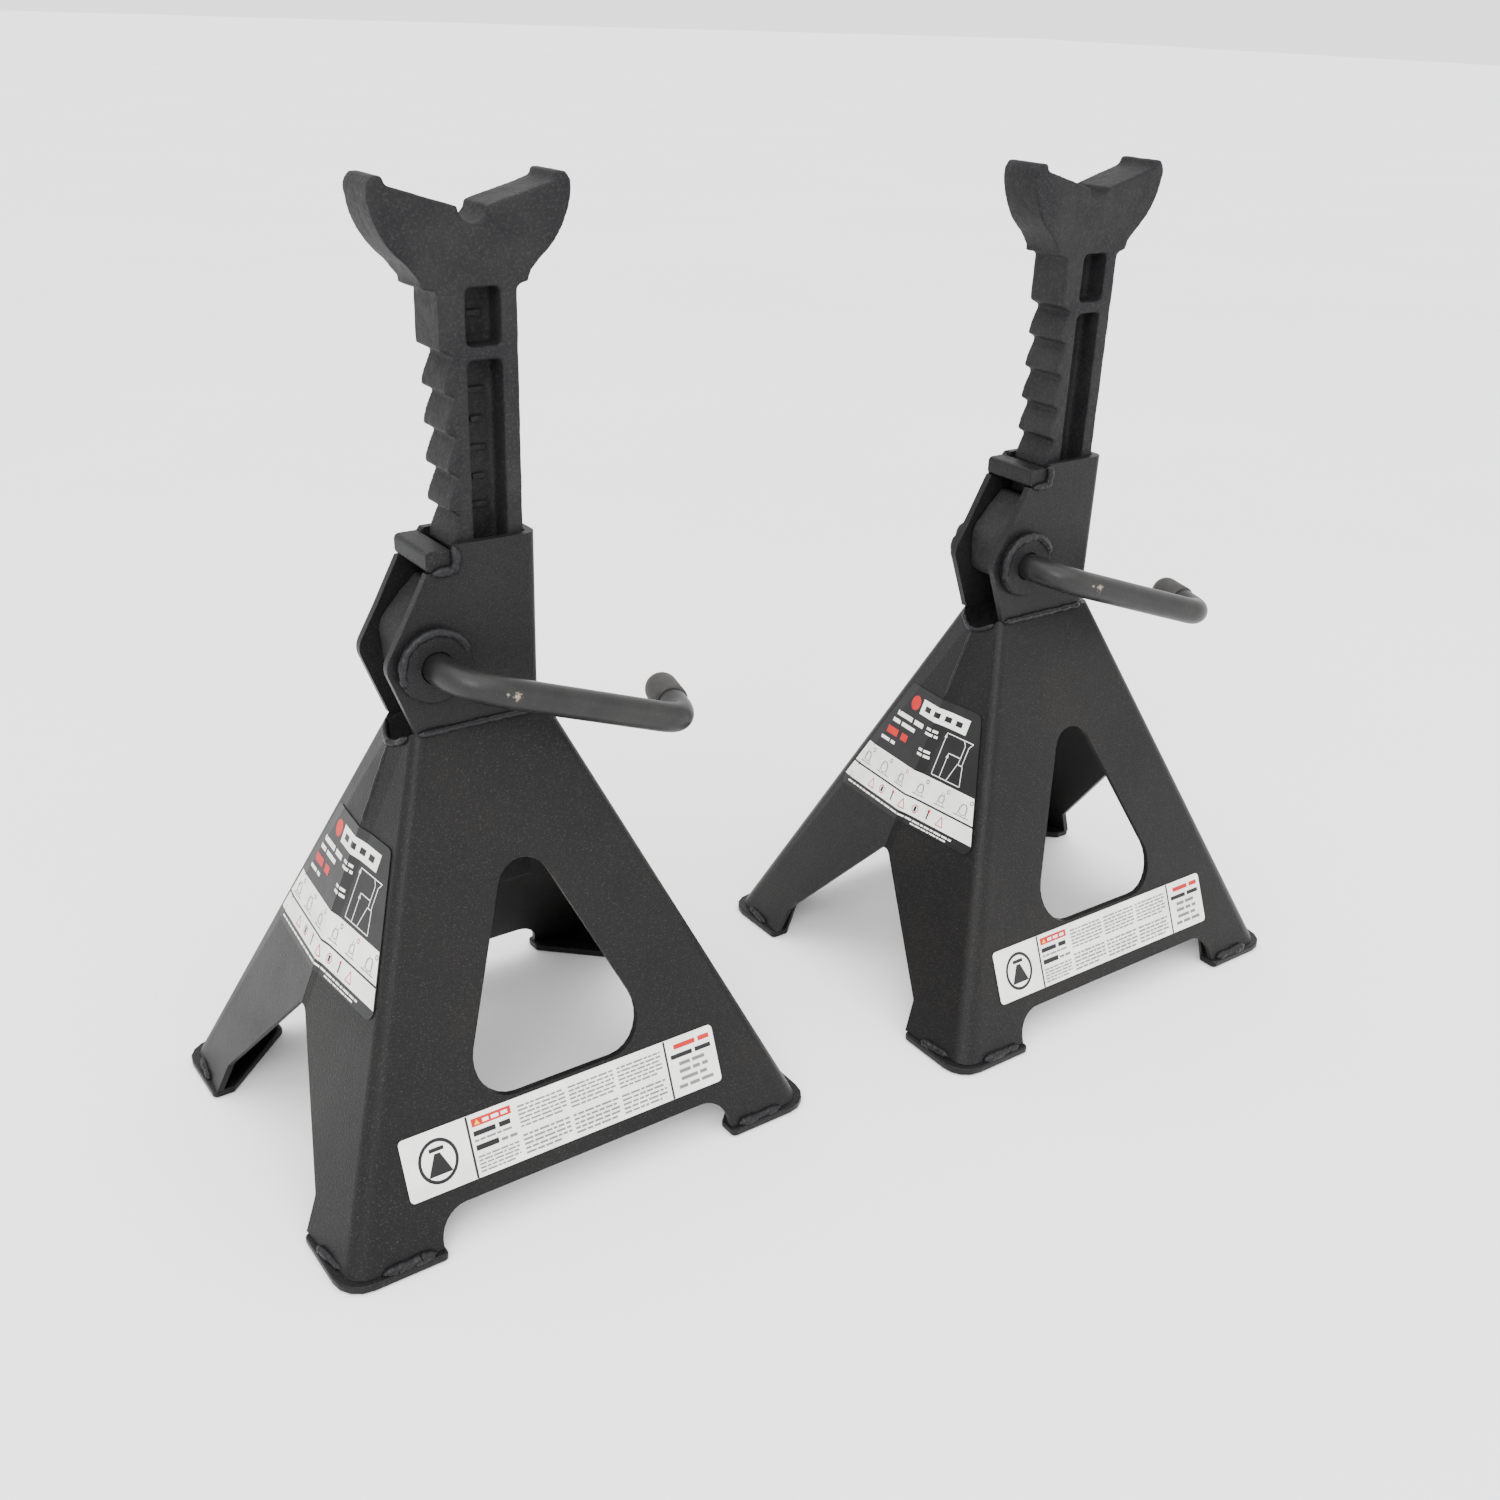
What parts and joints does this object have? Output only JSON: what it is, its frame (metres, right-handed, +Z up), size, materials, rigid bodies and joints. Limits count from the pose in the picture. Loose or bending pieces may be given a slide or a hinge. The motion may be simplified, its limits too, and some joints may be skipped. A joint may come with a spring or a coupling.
{
  "type": "ratchet axle jack stands",
  "caption": "Ratchet axle stands: tapering pressed-steel bases with corner feet, a toothed ram that rises through a collar to a V saddle, and a bent handle that lifts the pawl.",
  "frame": {"origin": "on the floor, at the centre of the rectangle that holds both stands", "axes": "+X runs along the front faces from stand A to stand B, +Y to the rear, +Z up along the rams"},
  "size_m": [0.696, 0.2888, 0.533],
  "materials": {
    "base_paint": "fine-textured dark charcoal powder coat, low sheen",
    "weld_paint": "the same powder coat over rippled weld beads",
    "ram_casting": "rough sand-cast iron under a matte black coat",
    "handle_bar": "smooth satin black over round bar",
    "handle_cap": "matte brown-grey plastic",
    "front_label": null,
    "side_label": null
  },
  "bodies": {
    "bases": {"stand_a_front_panel": "base_paint", "stand_a_rear_panel": "base_paint", "stand_a_seam_weld_left": "weld_paint", "stand_a_seam_weld_right": "weld_paint", "stand_a_foot_front_left": "base_paint", "stand_a_foot_front_right": "base_paint", "stand_a_foot_rear_left": "base_paint", "stand_a_foot_rear_right": "base_paint", "stand_a_collar": "base_paint", "stand_a_collar_front_weld": "weld_paint", "stand_a_collar_rear_weld": "weld_paint", "stand_a_bridge": "base_paint", "stand_a_front_washer": "base_paint", "stand_a_rear_washer": "base_paint", "stand_a_front_label": "front_label", "stand_a_side_label": "side_label", "stand_b_front_panel": "base_paint", "stand_b_rear_panel": "base_paint", "stand_b_seam_weld_left": "weld_paint", "stand_b_seam_weld_right": "weld_paint", "stand_b_foot_front_left": "base_paint", "stand_b_foot_front_right": "base_paint", "stand_b_foot_rear_left": "base_paint", "stand_b_foot_rear_right": "base_paint", "stand_b_collar": "base_paint", "stand_b_collar_front_weld": "weld_paint", "stand_b_collar_rear_weld": "weld_paint", "stand_b_bridge": "base_paint", "stand_b_front_washer": "base_paint", "stand_b_rear_washer": "base_paint", "stand_b_front_label": "front_label", "stand_b_side_label": "side_label"},
    "stand_a_ram": {"stand_a_ram": "ram_casting"},
    "stand_a_handle": {"stand_a_handle": "handle_bar", "stand_a_handle_cap": "handle_cap", "stand_a_pawl": "ram_casting", "stand_a_pawl_pin": "handle_bar"},
    "stand_b_ram": {"stand_b_ram": "ram_casting"},
    "stand_b_handle": {"stand_b_handle": "handle_bar", "stand_b_handle_cap": "handle_cap", "stand_b_pawl": "ram_casting", "stand_b_pawl_pin": "handle_bar"}
  },
  "joints": [
    {"name": "stand_a_ram_slide", "type": "slide", "parent": "bases", "child": "stand_a_ram", "axis": [0, 0, 1], "range_m": [-0.12, 0.1]},
    {"name": "stand_a_handle_pivot", "type": "hinge", "parent": "bases", "child": "stand_a_handle", "pos_m": [-0.23255, 0.01674, 0.2915], "axis": [0, -1, 0], "range_deg": [-11, 45]},
    {"name": "stand_b_ram_slide", "type": "slide", "parent": "bases", "child": "stand_b_ram", "axis": [0, 0, 1], "range_m": [-0.12, 0.1]},
    {"name": "stand_b_handle_pivot", "type": "hinge", "parent": "bases", "child": "stand_b_handle", "pos_m": [0.16155, -0.01674, 0.2915], "axis": [0, -1, 0], "range_deg": [-11, 45]}
  ]
}
